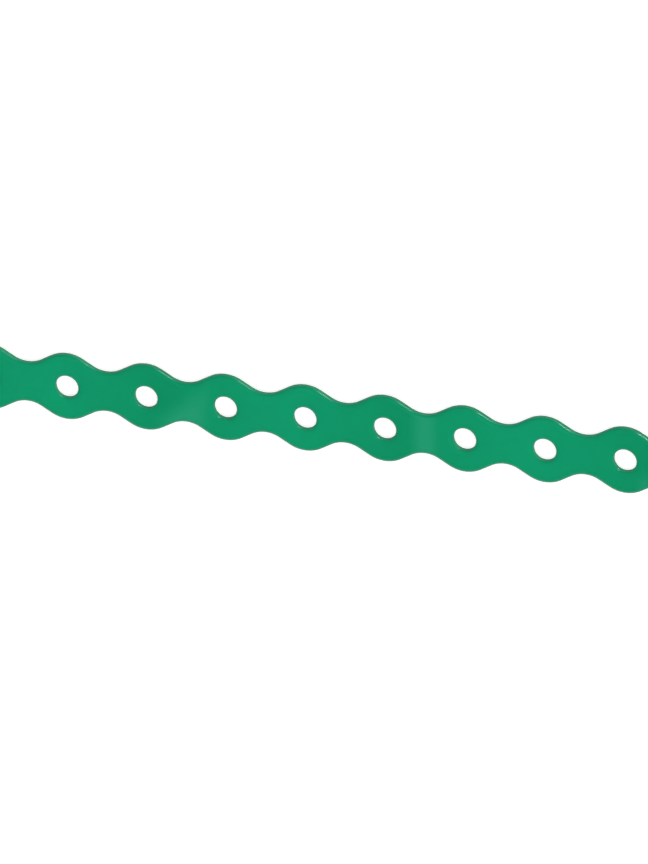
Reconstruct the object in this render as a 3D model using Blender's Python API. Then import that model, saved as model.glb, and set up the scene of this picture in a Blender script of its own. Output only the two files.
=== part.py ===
"""Wavy perforated hanger strap: a punched steel band, scalloped along both edges and dipped in green plastic.

The strap lies flat, with its length along X, its width along Y and its underside on z = 0, centred on the
origin. Sizes are in metres. They are finished sizes, measured over the plastic coat.
"""
import math

import bmesh
import bpy

# Pattern along the strap: every lobe carries one hole, and the strap is cut off in the middle of a waist
HOLE_PITCH = 0.0200
LOBE_COUNT = 50

# Scalloped outline
LOBE_WIDTH = 0.0172         # across two opposite crests
WAIST_WIDTH = 0.01025       # across the neck between two holes
LOBE_RADIUS = 0.0080        # of the rounded crest
FLANK_LENGTH = 0.0030       # straight run between a crest's arc and a waist's arc

# Punched hole, in the middle of each lobe
HOLE_DIAMETER = 0.00565

# Section
STEEL_THICKNESS = 0.0008
COAT_THICKNESS = 0.0005     # on each face of the steel
EDGE_SHARE = 0.36           # part of the thickness that the coat's rounding takes from each face

# Flats that stand for the round stretches, each one touching its arc
ARC_STEPS = 2               # steps from an arc's middle to its flank
HOLE_SIDES = 12

COAT_GREEN = (0.0060, 0.2961, 0.1356, 1.0)
COAT_ROUGHNESS = 0.32
WELD_DISTANCE = 0.000001
SHARP_ANGLE = math.radians(35)


def clear_scene():
    for obj in list(bpy.data.objects):
        bpy.data.objects.remove(obj, do_unlink=True)


def touching_corner(centre, radius, angle, step):
    """Corner between the two flats that touch a circle half a step to each side of the angle."""
    reach = radius / math.cos(step / 2)
    return (centre[0] + reach * math.cos(angle), centre[1] + reach * math.sin(angle))


def quarter_wave():
    """Edge from the middle of a crest, at x = 0, to the middle of the next waist, half a pitch on."""
    half_pitch = HOLE_PITCH / 2
    depth = (LOBE_WIDTH - WAIST_WIDTH) / 2
    # The crest's and the waist's radius add up to this, so that one flank is tangent to both arcs
    radii = (half_pitch ** 2 + depth ** 2 - FLANK_LENGTH ** 2) / (2 * depth)
    waist_radius = radii - LOBE_RADIUS
    half_span = math.pi / 2 - math.atan2(radii - depth, half_pitch) - math.atan2(FLANK_LENGTH, radii)
    step = half_span / ARC_STEPS

    crest = (0, LOBE_WIDTH / 2 - LOBE_RADIUS)
    waist = (half_pitch, WAIST_WIDTH / 2 + waist_radius)
    turns = [(i + 0.5) * step for i in range(ARC_STEPS)]
    crest_points = [touching_corner(crest, LOBE_RADIUS, math.pi / 2 - turn, step) for turn in turns]
    waist_points = [touching_corner(waist, waist_radius, -math.pi / 2 - turn, step) for turn in turns]
    return crest_points + waist_points[::-1]


def lobe_centres(count):
    first = -(count - 1) / 2 * HOLE_PITCH
    return [first + i * HOLE_PITCH for i in range(count)]


def band_outline():
    """Closed outline of the long band that the strap is sheared from, one lobe longer at each end."""
    quarter = quarter_wave()
    lobe = [(-x, y) for x, y in reversed(quarter)] + quarter
    upper = [(centre + x, y) for centre in lobe_centres(LOBE_COUNT + 2) for x, y in lobe]
    lower = [(x, -y) for x, y in reversed(upper)]
    return upper + lower


def hole_outline(centre):
    step = 2 * math.pi / HOLE_SIDES
    turns = [(i + 0.5) * step for i in range(HOLE_SIDES)]
    return [touching_corner((centre, 0), HOLE_DIAMETER / 2, turn, step) for turn in turns]


def add_loop(curve, points):
    spline = curve.splines.new('POLY')
    spline.points.add(len(points) - 1)
    for point, (x, y) in zip(spline.points, points):
        point.co = (x, y, 0, 1)
    spline.use_cyclic_u = True


def coat_material():
    material = bpy.data.materials.new("green_plastic_coat")
    material.use_nodes = True
    shader = material.node_tree.nodes["Principled BSDF"]
    shader.inputs["Base Color"].default_value = COAT_GREEN
    shader.inputs["Roughness"].default_value = COAT_ROUGHNESS
    shader.inputs["Metallic"].default_value = 0.0
    return material


def band_curve():
    """Filled flat outline with its holes, thickened to the section with the coat's rounded edges."""
    thickness = STEEL_THICKNESS + 2 * COAT_THICKNESS
    edge = EDGE_SHARE * thickness
    curve = bpy.data.curves.new("band_outline", 'CURVE')
    curve.dimensions = '2D'
    curve.fill_mode = 'BOTH'
    add_loop(curve, band_outline())
    for centre in lobe_centres(LOBE_COUNT):
        add_loop(curve, hole_outline(centre))
    curve.extrude = thickness / 2 - edge
    curve.bevel_depth = edge
    curve.bevel_resolution = 0
    curve.offset = -edge
    band = bpy.data.objects.new("band_outline", curve)
    band.location.z = thickness / 2
    return band


def shear_ends(work):
    """Cut the band square in the middle of the waist beyond the last lobe at each end, and close the cuts."""
    for end in (-1, 1):
        cut = bmesh.ops.bisect_plane(work, geom=work.verts[:] + work.edges[:] + work.faces[:],
                                     plane_co=(end * LOBE_COUNT * HOLE_PITCH / 2, 0, 0),
                                     plane_no=(end, 0, 0), clear_outer=True)
        rim = [part for part in cut["geom_cut"] if isinstance(part, bmesh.types.BMEdge)]
        bmesh.ops.contextual_create(work, geom=rim)


def make_strap(collection):
    band = band_curve()
    collection.objects.link(band)
    bpy.context.view_layer.update()
    evaluated = band.evaluated_get(bpy.context.evaluated_depsgraph_get())
    mesh = bpy.data.meshes.new_from_object(evaluated)
    mesh.name = "strap"

    work = bmesh.new()
    work.from_mesh(mesh)
    bmesh.ops.remove_doubles(work, verts=work.verts, dist=WELD_DISTANCE)
    shear_ends(work)
    bmesh.ops.recalc_face_normals(work, faces=work.faces)
    work.to_mesh(mesh)
    work.free()
    mesh.shade_smooth()
    mesh.set_sharp_from_angle(angle=SHARP_ANGLE)
    mesh.materials.clear()
    mesh.materials.append(coat_material())

    strap = bpy.data.objects.new("strap", mesh)
    strap.matrix_world = band.matrix_world.copy()
    collection.objects.link(strap)
    bpy.data.objects.remove(band, do_unlink=True)


def main():
    clear_scene()
    collection = bpy.data.collections.new("perforated_steel_strap")
    bpy.context.scene.collection.children.link(collection)
    make_strap(collection)
    print("strap built:", LOBE_COUNT, "lobes,", round(LOBE_COUNT * HOLE_PITCH, 4), "m long")


main()
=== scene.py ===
import math

import bmesh
import bpy
from mathutils import Matrix, Vector


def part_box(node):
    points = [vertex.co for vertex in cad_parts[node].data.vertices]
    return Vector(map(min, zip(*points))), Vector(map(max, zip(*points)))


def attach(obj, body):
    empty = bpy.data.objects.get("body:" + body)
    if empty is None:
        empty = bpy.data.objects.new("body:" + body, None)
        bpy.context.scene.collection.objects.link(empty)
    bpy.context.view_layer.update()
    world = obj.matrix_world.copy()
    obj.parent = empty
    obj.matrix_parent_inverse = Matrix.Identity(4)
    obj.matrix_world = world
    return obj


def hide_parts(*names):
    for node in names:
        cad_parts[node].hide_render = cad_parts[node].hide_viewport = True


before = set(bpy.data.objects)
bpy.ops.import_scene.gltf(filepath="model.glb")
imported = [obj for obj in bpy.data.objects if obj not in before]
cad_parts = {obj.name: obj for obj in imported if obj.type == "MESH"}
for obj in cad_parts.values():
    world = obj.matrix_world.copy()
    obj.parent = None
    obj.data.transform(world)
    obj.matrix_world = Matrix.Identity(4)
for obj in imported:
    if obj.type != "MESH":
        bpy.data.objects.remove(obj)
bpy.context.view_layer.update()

lowCorner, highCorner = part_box("strap")
strapSize = highCorner - lowCorner
print("frame loaded: strap", [round(side, 4) for side in strapSize])


# Colours are written as sRGB hex, the way a colour picker shows them
def hexColour(text):
    levels = [int(text[i:i + 2], 16) / 255 for i in (1, 3, 5)]
    return tuple(c / 12.92 if c <= 0.04045 else ((c + 0.055) / 1.055) ** 2.4 for c in levels) + (1.0,)


# Adds one node with its settings, gives each named input a value or a link, and returns one of its outputs
def addNode(tree, kind, inputs=None, out=0, **settings):
    node = tree.nodes.new(kind)
    for name, value in settings.items():
        setattr(node, name, value)
    for name, value in (inputs or {}).items():
        if isinstance(value, bpy.types.NodeSocket):
            tree.links.new(value, node.inputs[name])
        else:
            node.inputs[name].default_value = value
    return node.outputs[out] if len(node.outputs) else None


# Direction from the origin towards a point in the room, by azimuth from +X and elevation, in degrees
def towards(azimuth, elevation):
    azimuth, elevation = math.radians(azimuth), math.radians(elevation)
    flat = math.cos(elevation)
    return Vector((flat * math.cos(azimuth), flat * math.sin(azimuth), math.sin(elevation)))


# Camera: stands where the photograph was taken from, and is placed by where one hole lies in its picture
cameraSet = {
    "azimuth": 56.0,
    "elevation": 57.6,
    "roll": 142.8,              # the picture is turned this far about the line of sight
    "pixelsPerMetre": 4211,     # in the picture, square to the line of sight
    "distance": 5.0,            # metres: a long lens from far off, as the even pitch in the picture shows
    "seesTo": 100.0,            # metres
    "sensor": 36.0,             # mm, along the picture's longer side
    "pictureSize": (648, 864),
    "anchorPoint": (-0.010, 0.0, 0.0009),   # the hole next to the strap's middle, at half its depth
    "anchorPixel": (305.5, 417.4),
}


def makeCamera(values):
    back = towards(values["azimuth"], values["elevation"])
    level = Vector((0, 0, 1)).cross(back).normalized()
    roll = math.radians(values["roll"])
    up = back.cross(level) * math.cos(roll) + level * math.sin(roll)
    right = up.cross(back)
    width, height = values["pictureSize"]
    scale = values["pixelsPerMetre"]
    aside = (width / 2 - values["anchorPixel"][0]) / scale
    below = (height / 2 - values["anchorPixel"][1]) / scale
    aim = Vector(values["anchorPoint"]) + right * aside - up * below
    data = bpy.data.cameras.new("camera")
    data.sensor_width = values["sensor"]
    data.lens = values["sensor"] * scale * values["distance"] / height
    data.clip_end = values["seesTo"]
    camera = bpy.data.objects.new("camera", data)
    axes = Matrix((right, up, back)).transposed()
    camera.matrix_world = Matrix.Translation(aim + back * values["distance"]) @ axes.to_4x4()
    bpy.context.scene.collection.objects.link(camera)
    bpy.context.scene.camera = camera
    print("camera: lens", round(data.lens), "mm")


makeCamera(cameraSet)

# PVC plastisol, dipped and baked: an even, saturated green with a satin gloss and a faintly cloudy face. It
# dries to a faint orange peel. Painted into the colour: shade on the rims, sheen in soft bands, and shade
# between them.
coatSet = {
    "greens": ("#0d9b6b", "#119569"),           # the two that cloud into each other
    "cloudSizes": (9.0, 2.4),                   # mm, broad and fine
    "cloudDetail": 2.0,
    "cloudSpan": (0.5, 1.5),                    # their sum where all is the first green, and the second
    "rimShadeGreen": "#0e8d64",                      # painted shade on the rounded rims, darker where they turn from flat
    "rimTurns": (0.01, 0.12, 0.20, 0.42),       # turned from flat, 0 to 1: sets in, is full, fades and ends
    "bandPeriod": 60.0,                         # mm, every third waist: soft paler bands of painted sheen
    "bandMiddle": 20.0,                         # mm from the strap's middle
    "sheenBandGreen": "#229a70",
    "bandLines": (-4.3, 0.0, 0.8, 4.3),         # mm from its middle: starts, is full, fades and ends
    "bandStrength": 1.0,
    "askewLower": (-9.0, -0.1, 1.0, 7.0),       # every second band runs askew: the same at the lower edge
    "askewUpper": (2.0, 5.6, 6.0, 7.0),         # and at the upper edge
    "askewStrength": (1.3, 0.15),               # lower and upper
    "waistEdges": (-5.0, 5.0),                  # mm, where those two edges lie
    "bowShadeGreen": "#0d9063",                      # painted shade between the bands, duller where a slight bow turns the face from the light
    "bowCurve": ((0.0, 0.75), (0.05, 0.52), (0.23, 0.27), (0.38, 0.0), (0.58, 0.28), (0.77, 0.56),
                 (0.88, 0.97), (0.94, 1.0), (1.0, 0.75)),       # by how much, from one band to the next
    "roughness": (0.15, 0.21),                  # changes with the fine clouding
    "roughSpan": (0.3, 0.7),                    # levels of that clouding that give those two
    "ior": 1.5,                                 # soft PVC
    "peelSize": 1.4,                            # mm
    "peelDetail": 1.0,
    "peelDepth": 0.003,                         # mm
}


def makeCoat(values):
    material = bpy.data.materials.new("greenPlastisolCoat")
    material.use_nodes = True
    tree = material.node_tree
    shader = tree.nodes["Principled BSDF"]
    inMetres = addNode(tree, "ShaderNodeTexCoord", out="Object")
    inMm = addNode(tree, "ShaderNodeVectorMath", {0: inMetres, "Scale": 1000.0}, operation="SCALE")
    alongX = addNode(tree, "ShaderNodeSeparateXYZ", {0: inMm}, out="X")
    alongY = addNode(tree, "ShaderNodeSeparateXYZ", {0: inMm}, out="Y")

    # Clouding: a broad one and a fine one, added
    broad, fine = (addNode(tree, "ShaderNodeTexNoise", {"Vector": inMm, "Scale": 1 / size,
                                                        "Detail": values["cloudDetail"]})
                   for size in values["cloudSizes"])
    both = addNode(tree, "ShaderNodeMath", {0: broad, 1: fine}, operation="ADD")
    low, high = values["cloudSpan"]
    clouds = addNode(tree, "ShaderNodeMapRange", {"Value": both, "From Min": low, "From Max": high})
    green = addNode(tree, "ShaderNodeMix", {0: clouds, 6: hexColour(values["greens"][0]),
                                            7: hexColour(values["greens"][1])}, out=2, data_type="RGBA")

    # Where a point lies between the bands: periods along, the nearest band, and how far off that is in mm
    shifted = addNode(tree, "ShaderNodeMath", {0: alongX, 1: values["bandMiddle"]}, operation="SUBTRACT")
    periods = addNode(tree, "ShaderNodeMath", {0: shifted, 1: values["bandPeriod"]}, operation="DIVIDE")
    nearest = addNode(tree, "ShaderNodeMath", {0: periods}, operation="ROUND")
    offPeriods = addNode(tree, "ShaderNodeMath", {0: periods, 1: nearest}, operation="SUBTRACT")
    offBand = addNode(tree, "ShaderNodeMath", {0: offPeriods, 1: values["bandPeriod"]}, operation="MULTIPLY")
    askew = addNode(tree, "ShaderNodeMath", {0: nearest, 1: 2.0}, operation="FLOORED_MODULO")

    # Painted shade for the bow between two bands
    onwards = addNode(tree, "ShaderNodeMath", {0: periods}, operation="FRACT")
    bowShade = addNode(tree, "ShaderNodeFloatCurve", {"Value": onwards})
    curve = bowShade.node.mapping.curves[0]
    for point, place in zip(curve.points, (values["bowCurve"][0], values["bowCurve"][-1])):
        point.location = place
    for place in values["bowCurve"][1:-1]:
        curve.points.new(*place)
    bowShade.node.mapping.update()
    # painted shade: the duller green where the bowed face turns from the light
    green = addNode(tree, "ShaderNodeMix", {0: bowShade, 6: green, 7: hexColour(values["bowShadeGreen"])}, out=2,
                    data_type="RGBA")

    # The bands of painted sheen: the straight ones, and every second one askew across the strap's width
    low, high = values["waistEdges"]
    lines = []
    for straight, lower, upper in zip(values["bandLines"] + (values["bandStrength"],),
                                      values["askewLower"] + values["askewStrength"][:1],
                                      values["askewUpper"] + values["askewStrength"][1:]):
        across = addNode(tree, "ShaderNodeMapRange", {"Value": alongY, "From Min": low, "From Max": high,
                                                      "To Min": lower, "To Max": upper})
        lines.append(addNode(tree, "ShaderNodeMix", {0: askew, 2: straight, 3: across}))
    starts, full, fades, ends, strength = lines
    rises = addNode(tree, "ShaderNodeMapRange", {"Value": offBand, "From Min": starts, "From Max": full},
                    interpolation_type="SMOOTHSTEP")
    falls = addNode(tree, "ShaderNodeMapRange", {"Value": offBand, "From Min": ends, "From Max": fades},
                    interpolation_type="SMOOTHSTEP")
    sheenBand = addNode(tree, "ShaderNodeMath", {0: rises, 1: falls}, operation="MULTIPLY")
    sheenBand = addNode(tree, "ShaderNodeMath", {0: sheenBand, 1: strength}, operation="MULTIPLY")
    # painted sheen: the paler green of the bands
    green = addNode(tree, "ShaderNodeMix", {0: sheenBand, 6: green, 7: hexColour(values["sheenBandGreen"])}, out=2,
                    data_type="RGBA")

    # Painted shade round the edges, by how far the surface has turned from flat
    rim = addNode(tree, "ShaderNodeAttribute", out="Fac", attribute_name="rim")
    setsIn, shadeFull, shadeFades, shadeEnds = values["rimTurns"]
    shadeComesIn = addNode(tree, "ShaderNodeMapRange", {"Value": rim, "From Min": setsIn, "From Max": shadeFull})
    shadeGoesOut = addNode(tree, "ShaderNodeMapRange", {"Value": rim, "From Min": shadeEnds, "From Max": shadeFades})
    rimShade = addNode(tree, "ShaderNodeMath", {0: shadeComesIn, 1: shadeGoesOut}, operation="MULTIPLY")
    # painted shade: the rims' darker green, mixed in where the surface turns from flat
    green = addNode(tree, "ShaderNodeMix", {0: rimShade, 6: green, 7: hexColour(values["rimShadeGreen"])}, out=2,
                    data_type="RGBA")
    tree.links.new(green, shader.inputs["Base Color"])

    low, high = values["roughSpan"]
    glossiest, dullest = values["roughness"]
    roughness = addNode(tree, "ShaderNodeMapRange", {"Value": fine, "From Min": low, "From Max": high,
                                                     "To Min": glossiest, "To Max": dullest})
    tree.links.new(roughness, shader.inputs["Roughness"])
    shader.inputs["IOR"].default_value = values["ior"]
    peel = addNode(tree, "ShaderNodeTexNoise", {"Vector": inMm, "Scale": 1 / values["peelSize"],
                                                "Detail": values["peelDetail"]})
    bump = addNode(tree, "ShaderNodeBump", {"Strength": 1.0, "Distance": values["peelDepth"] / 1000,
                                            "Height": peel})
    tree.links.new(bump, shader.inputs["Normal"])
    return material


# Mild steel at the sheared ends: the blade burnishes the upper part, and the rest tears off grey and rough
steelSet = {
    "burnished": "#b4b4b0",
    "torn": "#777774",
    "tearHeight": 0.95,         # mm above the underside
    "tearRagged": 0.30,         # mm, how far the streaks move that line
    "tearSoftness": 0.10,       # mm, over which one turns into the other
    "streakWidth": 0.12,        # mm
    "streakDetail": 3.0,
    "streakStretch": 4.0,       # times longer than wide, up and down the cut
    "streakDepth": 0.03,        # mm
    "streakStrength": 0.6,      # of that depth, in the shading
    "roughness": (0.28, 0.55),  # burnished and torn
}


def makeSteel(values):
    material = bpy.data.materials.new("shearedMildSteel")
    material.use_nodes = True
    tree = material.node_tree
    shader = tree.nodes["Principled BSDF"]
    inMetres = addNode(tree, "ShaderNodeTexCoord", out="Object")
    stretched = addNode(tree, "ShaderNodeMapping",
                        {"Vector": inMetres, "Scale": (1000.0, 1000.0, 1000.0 / values["streakStretch"])})
    streaks = addNode(tree, "ShaderNodeTexNoise", {"Vector": stretched, "Scale": 1 / values["streakWidth"],
                                                   "Detail": values["streakDetail"]})
    height = addNode(tree, "ShaderNodeSeparateXYZ", {0: inMetres}, out="Z")
    ragged = addNode(tree, "ShaderNodeMath", {0: streaks, 1: values["tearRagged"] / 1000, 2: height},
                     operation="MULTIPLY_ADD")
    tearTop = (values["tearHeight"] + values["tearRagged"] / 2) / 1000
    tearBottom = tearTop - values["tearSoftness"] / 1000
    torn = addNode(tree, "ShaderNodeMapRange", {"Value": ragged, "From Min": tearTop,
                                                "From Max": tearBottom})
    grey = addNode(tree, "ShaderNodeMix", {0: torn, 6: hexColour(values["burnished"]),
                                           7: hexColour(values["torn"])}, out=2, data_type="RGBA")
    tree.links.new(grey, shader.inputs["Base Color"])
    rough = addNode(tree, "ShaderNodeMapRange", {"Value": torn, "To Min": values["roughness"][0],
                                                 "To Max": values["roughness"][1]})
    tree.links.new(rough, shader.inputs["Roughness"])
    bump = addNode(tree, "ShaderNodeBump", {"Strength": values["streakStrength"],
                                            "Distance": values["streakDepth"] / 1000, "Height": streaks})
    tree.links.new(bump, shader.inputs["Normal"])
    shader.inputs["Metallic"].default_value = 1.0
    return material


coat = makeCoat(coatSet)
steel = makeSteel(steelSet)
print("materials made:", coat.name, steel.name)

# Strap: metres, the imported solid's own sizes, and how finely its curves are drawn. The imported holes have
# twelve sides, 5.65 mm across the flats and 5.85 mm across the corners, and the round ones lie midway.
strapSet = {
    "holePitch": 0.0200,
    "waistWidth": 0.01025,
    "lobeRadius": 0.0080,
    "flankLength": 0.0030,
    "holeDiameter": 0.00575,
    "coatThickness": 0.0005,
    "edgeReach": 0.00145,       # the coat starts to fall away this far in from the wavy edge
    "edgeDrop": 0.00062,        # and its rounding takes this much of the thickness on each face
    "holeReach": 0.00135,       # the same round a hole
    "holeDrop": 0.00048,
    "flatRim": 0.00010,         # narrow ring beside each rounding, which keeps the flat face's shading flat
    "weldDistance": 0.000002,   # points closer than this are one
    "arcSteps": 12,
    "holeSteps": 48,
    "edgeSteps": 6,
    "sharpAngle": 40,           # degrees, over which an edge isn't shaded smooth
}


# The wavy edge is a zigzag whose corners are filleted. This gives how far off the strap's middle line the
# corners over the crests and in the waists lie, and the waists' radius, so that a flank touches both its arcs.
def waveCorners(values, lobeWidth):
    half = values["holePitch"] / 2
    depth = (lobeWidth - values["waistWidth"]) / 2
    radii = (half ** 2 + depth ** 2 - values["flankLength"] ** 2) / (2 * depth)
    waistRadius = radii - values["lobeRadius"]
    lean = math.pi / 2 - math.atan2(radii - depth, half) - math.atan2(values["flankLength"], radii)
    beyondArc = 1 / math.cos(lean) - 1
    crestCorner = lobeWidth / 2 + values["lobeRadius"] * beyondArc
    waistCorner = values["waistWidth"] / 2 - waistRadius * beyondArc
    return crestCorner, waistCorner, waistRadius


def buildStrapTree():
    tree = bpy.data.node_groups.new("wavyStrap", "GeometryNodeTree")
    tree.interface.new_socket("Geometry", in_out="INPUT", socket_type="NodeSocketGeometry")
    floats = ("Hole Pitch", "Crest Corner", "Waist Corner", "Crest Radius", "Waist Radius", "Hole Diameter",
              "Thickness", "Edge Reach", "Edge Drop", "Hole Reach", "Hole Drop", "Flat Rim", "Weld Distance")
    counts = ("Lobes", "Arc Steps", "Hole Steps", "Edge Steps")
    for names, kind in ((floats, "Float"), (counts, "Int"), (("Coat",), "Material")):
        for name in names:
            tree.interface.new_socket(name, in_out="INPUT", socket_type="NodeSocket" + kind)
    tree.interface.new_socket("Geometry", in_out="OUTPUT", socket_type="NodeSocketGeometry")
    given = tree.nodes.new("NodeGroupInput").outputs

    # Zigzag corners: along the upper edge, then back along the lower one, with half a lobe beyond each cut
    halfPitch = addNode(tree, "ShaderNodeMath", {0: given["Hole Pitch"], 1: 0.5}, operation="MULTIPLY")
    sideCount = addNode(tree, "ShaderNodeMath", {0: given["Lobes"], 1: 2.0, 2: 3.0}, operation="MULTIPLY_ADD")
    bothSides = addNode(tree, "ShaderNodeMath", {0: sideCount, 1: 2.0}, operation="MULTIPLY")
    ring = addNode(tree, "GeometryNodeCurvePrimitiveCircle", {"Resolution": bothSides}, mode="RADIUS")
    index = addNode(tree, "GeometryNodeInputIndex")
    lastUpper = addNode(tree, "ShaderNodeMath", {0: sideCount, 1: 0.5}, operation="SUBTRACT")
    onLower = addNode(tree, "ShaderNodeMath", {0: index, 1: lastUpper}, operation="GREATER_THAN")
    side = addNode(tree, "ShaderNodeMath", {0: onLower, 1: -2.0, 2: 1.0}, operation="MULTIPLY_ADD")
    before = addNode(tree, "ShaderNodeMath", {0: onLower, 1: sideCount}, operation="MULTIPLY")
    number = addNode(tree, "ShaderNodeMath", {0: index, 1: before}, operation="SUBTRACT")
    isWaist = addNode(tree, "ShaderNodeMath", {0: number, 1: 2.0}, operation="MODULO")
    middle = addNode(tree, "ShaderNodeMath", {0: given["Lobes"], 1: 1.0}, operation="ADD")
    fromMiddle = addNode(tree, "ShaderNodeMath", {0: number, 1: middle}, operation="SUBTRACT")
    reach = addNode(tree, "ShaderNodeMath", {0: fromMiddle, 1: halfPitch}, operation="MULTIPLY")
    cornerX = addNode(tree, "ShaderNodeMath", {0: reach, 1: side}, operation="MULTIPLY")
    cornerOff = addNode(tree, "ShaderNodeMix", {0: isWaist, 2: given["Crest Corner"],
                                                3: given["Waist Corner"]})
    cornerY = addNode(tree, "ShaderNodeMath", {0: cornerOff, 1: side}, operation="MULTIPLY")
    corner = addNode(tree, "ShaderNodeCombineXYZ", {"X": cornerX, "Y": cornerY})
    zigzag = addNode(tree, "GeometryNodeSetPosition", {"Geometry": ring, "Position": corner})
    arcRadius = addNode(tree, "ShaderNodeMix", {0: isWaist, 2: given["Crest Radius"],
                                                3: given["Waist Radius"]})
    fromEnd = addNode(tree, "ShaderNodeMath", {0: fromMiddle}, operation="ABSOLUTE")
    lastLobe = addNode(tree, "ShaderNodeMath", {0: given["Lobes"], 1: 0.5}, operation="ADD")
    within = addNode(tree, "ShaderNodeMath", {0: fromEnd, 1: lastLobe}, operation="LESS_THAN")
    filletRadius = addNode(tree, "ShaderNodeMath", {0: arcRadius, 1: within}, operation="MULTIPLY")
    outline = addNode(tree, "GeometryNodeFilletCurve", {"Curve": zigzag, "Count": given["Arc Steps"],
                                                        "Radius": filletRadius}, mode="POLY")

    # One round hole in the middle of every lobe
    lastHole = addNode(tree, "ShaderNodeMath", {0: 1.0, 1: given["Lobes"]}, operation="SUBTRACT")
    firstX = addNode(tree, "ShaderNodeMath", {0: lastHole, 1: halfPitch}, operation="MULTIPLY")
    firstHole = addNode(tree, "ShaderNodeCombineXYZ", {"X": firstX})
    holeStep = addNode(tree, "ShaderNodeCombineXYZ", {"X": given["Hole Pitch"]})
    centres = addNode(tree, "GeometryNodeMeshLine", {"Count": given["Lobes"], "Start Location": firstHole,
                                                     "Offset": holeStep}, mode="OFFSET")
    holeRadius = addNode(tree, "ShaderNodeMath", {0: given["Hole Diameter"], 1: 0.5}, operation="MULTIPLY")
    hole = addNode(tree, "GeometryNodeCurvePrimitiveCircle", {"Resolution": given["Hole Steps"],
                                                              "Radius": holeRadius}, mode="RADIUS")
    copies = addNode(tree, "GeometryNodeInstanceOnPoints", {"Points": centres, "Instance": hole})
    holes = addNode(tree, "GeometryNodeRealizeInstances", {"Geometry": copies})

    # Edge section, swept along every rim: a strip of each face, the two rounded corners and the wall between.
    # The corners are filleted round and then drawn out over the faces into quarter ellipses.
    halfThick = addNode(tree, "ShaderNodeMath", {0: given["Thickness"], 1: 0.5}, operation="MULTIPLY")
    halfBelow = addNode(tree, "ShaderNodeMath", {0: halfThick, 1: -1.0}, operation="MULTIPLY")
    innerRims = tree.nodes.new("GeometryNodeJoinGeometry")
    whole = tree.nodes.new("GeometryNodeJoinGeometry")
    for rim, rimReach, rimDrop in ((outline, given["Edge Reach"], given["Edge Drop"]),
                                   (holes, given["Hole Reach"], given["Hole Drop"])):
        inset = addNode(tree, "ShaderNodeMath", {0: rimReach, 1: given["Flat Rim"]}, operation="ADD")
        drawOut = addNode(tree, "ShaderNodeMath", {0: rimReach, 1: rimDrop}, operation="DIVIDE")
        beforeDraw = addNode(tree, "ShaderNodeMath", {0: inset, 1: drawOut}, operation="DIVIDE")
        ends = ((beforeDraw, halfBelow), (0.0, halfBelow), (0.0, halfThick), (beforeDraw, halfThick))
        corners = {"Point %d" % (i + 1): addNode(tree, "ShaderNodeCombineXYZ", {"X": x, "Y": y})
                   for i, (x, y) in enumerate(ends)}
        box = addNode(tree, "GeometryNodeCurvePrimitiveQuadrilateral", corners, mode="POINTS")
        openBox = addNode(tree, "GeometryNodeSetSplineCyclic", {"Geometry": box, "Cyclic": False})
        rounded = addNode(tree, "GeometryNodeFilletCurve", {"Curve": openBox, "Count": given["Edge Steps"],
                                                            "Radius": rimDrop}, mode="POLY")
        drawn = addNode(tree, "ShaderNodeCombineXYZ", {"X": drawOut, "Y": 1.0, "Z": 1.0})
        section = addNode(tree, "GeometryNodeTransform", {"Geometry": rounded, "Scale": drawn})
        upright = addNode(tree, "GeometryNodeSetCurveNormal", {"Curve": rim}, mode="Z_UP")
        wall = addNode(tree, "GeometryNodeCurveToMesh", {"Curve": upright, "Profile Curve": section})
        tree.links.new(wall, whole.inputs[0])
        normal = addNode(tree, "GeometryNodeInputNormal")
        inward = addNode(tree, "ShaderNodeVectorMath", {0: normal, "Scale": inset}, operation="SCALE")
        innerRim = addNode(tree, "GeometryNodeSetPosition", {"Geometry": upright, "Offset": inward})
        tree.links.new(innerRim, innerRims.inputs[0])

    # The two flat faces, filled between the same rims drawn inward
    face = addNode(tree, "GeometryNodeFillCurve", {"Curve": innerRims.outputs[0]}, mode="TRIANGLES")
    for level in (halfThick, halfBelow):
        faceHeight = addNode(tree, "ShaderNodeCombineXYZ", {"Z": level})
        flatFace = addNode(tree, "GeometryNodeTransform", {"Geometry": face, "Translation": faceHeight})
        tree.links.new(flatFace, whole.inputs[0])
    lift = addNode(tree, "ShaderNodeCombineXYZ", {"Z": halfThick})
    lifted = addNode(tree, "GeometryNodeTransform", {"Geometry": whole.outputs[0], "Translation": lift})
    welded = addNode(tree, "GeometryNodeMergeByDistance", {"Geometry": lifted,
                                                           "Distance": given["Weld Distance"]})

    # How far each point's surface has turned from flat, for the painted shade on the rims
    facing = addNode(tree, "ShaderNodeSeparateXYZ", {0: addNode(tree, "GeometryNodeInputNormal")}, out="Z")
    flatness = addNode(tree, "ShaderNodeMath", {0: facing}, operation="ABSOLUTE")
    turned = addNode(tree, "ShaderNodeMath", {0: 1.0, 1: flatness}, operation="SUBTRACT")
    marked = addNode(tree, "GeometryNodeStoreNamedAttribute",
                     {"Geometry": welded, "Name": "rim", "Value": turned}, data_type="FLOAT", domain="POINT")
    realized = addNode(tree, "GeometryNodeRealizeInstances", {"Geometry": marked})
    coated = addNode(tree, "GeometryNodeSetMaterial", {"Geometry": realized, "Material": given["Coat"]})
    tree.links.new(coated, tree.nodes.new("NodeGroupOutput").inputs[0])
    return tree


# Sets the modifier's inputs by their sockets' identifiers, evaluates it once and returns the plain mesh
def meshFromTree(tree, inputs, name):
    holder = bpy.data.objects.new(name, bpy.data.meshes.new(name))
    bpy.context.scene.collection.objects.link(holder)
    modifier = holder.modifiers.new("shape", "NODES")
    modifier.node_group = tree
    for item in tree.interface.items_tree:
        if item.in_out == "INPUT" and item.name in inputs:
            modifier[item.identifier] = inputs[item.name]
    depsgraph = bpy.context.evaluated_depsgraph_get()
    mesh = bpy.data.meshes.new_from_object(holder.evaluated_get(depsgraph), depsgraph=depsgraph)
    bpy.data.objects.remove(holder, do_unlink=True)
    return mesh


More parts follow.
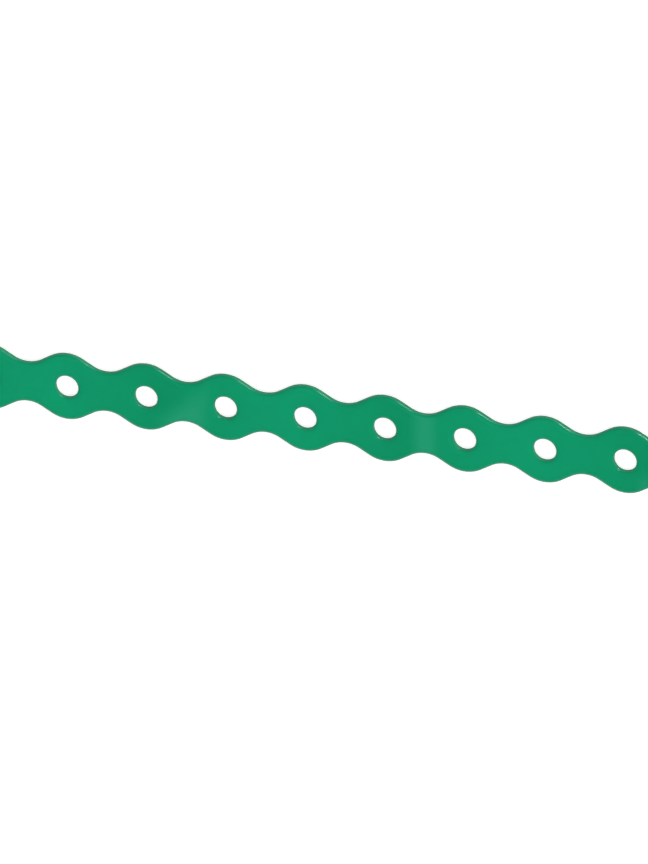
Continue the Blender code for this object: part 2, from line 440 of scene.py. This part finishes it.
# Shears the strap square at both ends, through the middle of a waist, and lays the steel core bare in the coat
def shearEnds(mesh, values, steelSlot):
    work = bmesh.new()
    work.from_mesh(mesh)
    halfLength, thickness = strapSize.x / 2, strapSize.z
    coreShare = [1 - 2 * values["coatThickness"] / side for side in (values["waistWidth"], thickness)]
    for end in (1, -1):
        everything = work.verts[:] + work.edges[:] + work.faces[:]
        cut = bmesh.ops.bisect_plane(work, geom=everything, dist=values["weldDistance"], clear_outer=True,
                                     plane_co=(end * halfLength, 0, 0), plane_no=(end, 0, 0))
        rim = [part for part in cut["geom_cut"] if isinstance(part, bmesh.types.BMEdge)]
        filled = bmesh.ops.contextual_create(work, geom=rim)["faces"][0]
        outer = list(filled.verts)
        work.faces.remove(filled)
        core = [work.verts.new((vert.co.x, coreShare[0] * vert.co.y,
                                thickness / 2 + coreShare[1] * (vert.co.z - thickness / 2))) for vert in outer]
        for i in range(len(outer)):
            work.faces.new((outer[i - 1], outer[i], core[i], core[i - 1]))
        work.faces.new(core).material_index = steelSlot
    bmesh.ops.recalc_face_normals(work, faces=work.faces[:])
    work.to_mesh(mesh)
    work.free()


def makeStrap(values):
    lobes = round(strapSize.x / values["holePitch"])
    crestCorner, waistCorner, waistRadius = waveCorners(values, strapSize.y)
    inputs = {"Lobes": lobes, "Hole Pitch": values["holePitch"], "Crest Corner": crestCorner,
              "Waist Corner": waistCorner, "Crest Radius": values["lobeRadius"], "Waist Radius": waistRadius,
              "Hole Diameter": values["holeDiameter"], "Thickness": strapSize.z,
              "Edge Reach": values["edgeReach"], "Edge Drop": values["edgeDrop"],
              "Hole Reach": values["holeReach"], "Hole Drop": values["holeDrop"],
              "Flat Rim": values["flatRim"], "Weld Distance": values["weldDistance"],
              "Arc Steps": values["arcSteps"], "Hole Steps": values["holeSteps"],
              "Edge Steps": values["edgeSteps"], "Coat": coat}
    mesh = meshFromTree(buildStrapTree(), inputs, "coatedStrap")
    mesh.materials.clear()
    mesh.materials.append(coat)
    mesh.materials.append(steel)
    shearEnds(mesh, values, steelSlot=1)
    mesh.shade_smooth()
    mesh.set_sharp_from_angle(angle=math.radians(values["sharpAngle"]))
    strap = bpy.data.objects.new("coatedStrap", mesh)
    bpy.context.scene.collection.objects.link(strap)
    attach(strap, "root")
    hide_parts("strap")
    print("strap:", lobes, "lobes,", sum(len(face.vertices) - 2 for face in mesh.polygons), "triangles")


makeStrap(strapSet)

# Room: white wherever the camera meets it, up to the top of its walls, and dim overhead. Reflections see the
# same walls and a greyer floor. The floor and the air light the strap only a little.
roomSet = {
    "floorSize": 40.0,          # metres
    "floorGap": 0.00002,        # metres below the strap, because two faces in one plane show in patches
    "floorGrey": "#b8b8b8",     # what the lamps light, and what lights the strap's edges from below
    "floorGlow": 0.72,          # what the camera sees on top of that
    "floorMirrored": 0.10,      # how much of the glow reflections see: near the strap they meet its own shade
    "wallTop": (12, 32),        # degrees, where the white walls start to fade and where the ceiling begins
    "white": "#ffffff",
    "ceiling": 0.03,            # strength, where the walls have 1
    "ambient": 0.06,            # strength of the air, which lights the strap from all round
}


# 1 for rays from the camera or through glass, the given share for rays off a glossy surface, 0 for the others
def seenRays(tree, mirrored):
    path = addNode(tree, "ShaderNodeLightPath", out="Is Camera Ray").node.outputs
    direct = addNode(tree, "ShaderNodeMath", {0: path["Is Camera Ray"], 1: path["Is Transmission Ray"]},
                     operation="MAXIMUM")
    return addNode(tree, "ShaderNodeMath", {0: path["Is Glossy Ray"], 1: mirrored, 2: direct},
                   operation="MULTIPLY_ADD", use_clamp=True)


def makeFloor(values):
    material = bpy.data.materials.new("whitePaperFloor")
    material.use_nodes = True
    tree = material.node_tree
    tree.nodes.clear()
    seen = seenRays(tree, values["floorMirrored"])
    glow = addNode(tree, "ShaderNodeMath", {0: seen, 1: values["floorGlow"]}, operation="MULTIPLY")
    glowing = addNode(tree, "ShaderNodeEmission", {"Strength": glow})
    paper = addNode(tree, "ShaderNodeBsdfDiffuse", {"Color": hexColour(values["floorGrey"])})
    both = addNode(tree, "ShaderNodeAddShader", {0: glowing, 1: paper})
    addNode(tree, "ShaderNodeOutputMaterial", {"Surface": both})
    bpy.ops.mesh.primitive_plane_add(size=values["floorSize"], location=(0, 0, -values["floorGap"]))
    floor = bpy.context.object
    floor.name = "floor"
    floor.data.materials.append(material)


def makeWorld(values):
    world = bpy.data.worlds.new("studio")
    bpy.context.scene.world = world
    world.use_nodes = True
    tree = world.node_tree
    tree.nodes.clear()
    direction = addNode(tree, "ShaderNodeTexCoord", out="Object")
    height = addNode(tree, "ShaderNodeSeparateXYZ", {0: direction}, out="Z")
    low, high = (math.sin(math.radians(angle)) for angle in values["wallTop"])
    walls = addNode(tree, "ShaderNodeMapRange", {"Value": height, "From Min": low, "From Max": high,
                                                 "To Min": 1.0, "To Max": values["ceiling"]},
                    interpolation_type="SMOOTHSTEP")
    white = hexColour(values["white"])
    room = addNode(tree, "ShaderNodeBackground", {"Color": white, "Strength": walls})
    air = addNode(tree, "ShaderNodeBackground", {"Color": white, "Strength": values["ambient"]})
    shown = addNode(tree, "ShaderNodeMixShader", {0: seenRays(tree, 1.0), 1: air, 2: room})
    addNode(tree, "ShaderNodeOutputWorld", {"Surface": shown})


makeFloor(roomSet)
makeWorld(roomSet)

# Lamps: azimuth and elevation in degrees, width and distance in metres, and the light on a face turned to the
# lamp, where 1 brings white paper to white. Only the small lamp shows in the gloss, as a line along the edges
# turned to it. The others are sampled as lights alone, or some of their gleam leaks in and greys the green.
lampSet = {
    "distance": 8.0,
    "lamps": {
        "overheadSoftbox": {"azimuth": 240, "elevation": 60, "width": 5.3, "light": 0.59, "mirrored": False},
        "sideFill": {"azimuth": 0, "elevation": 28, "width": 5.3, "light": 0.39, "mirrored": False},
        "nearFill": {"azimuth": 38, "elevation": 28, "width": 5.3, "light": 0.19, "mirrored": False},
        "edgeLamp": {"azimuth": 59, "elevation": 43, "width": 0.9, "light": 0.41, "mirrored": True},
    },
}


def makeLamps(values):
    distance = values["distance"]
    for name, one in values["lamps"].items():
        data = bpy.data.lights.new(name, "AREA")
        data.shape = "SQUARE"
        data.size = one["width"]
        data.energy = one["light"] * (math.pi * distance) ** 2      # the watts that give that light so far off
        data.cycles.use_multiple_importance_sampling = one["mirrored"]
        lamp = bpy.data.objects.new(name, data)
        direction = towards(one["azimuth"], one["elevation"])
        turn = direction.to_track_quat("Z", "Y").to_matrix().to_4x4()
        lamp.matrix_world = Matrix.Translation(direction * distance) @ turn
        lamp.visible_camera = False
        lamp.visible_glossy = one["mirrored"]
        bpy.context.scene.collection.objects.link(lamp)


makeLamps(lampSet)
print("room and lamps set")

bpy.context.scene.view_settings.view_transform = "Standard"
bpy.context.view_layer.update()
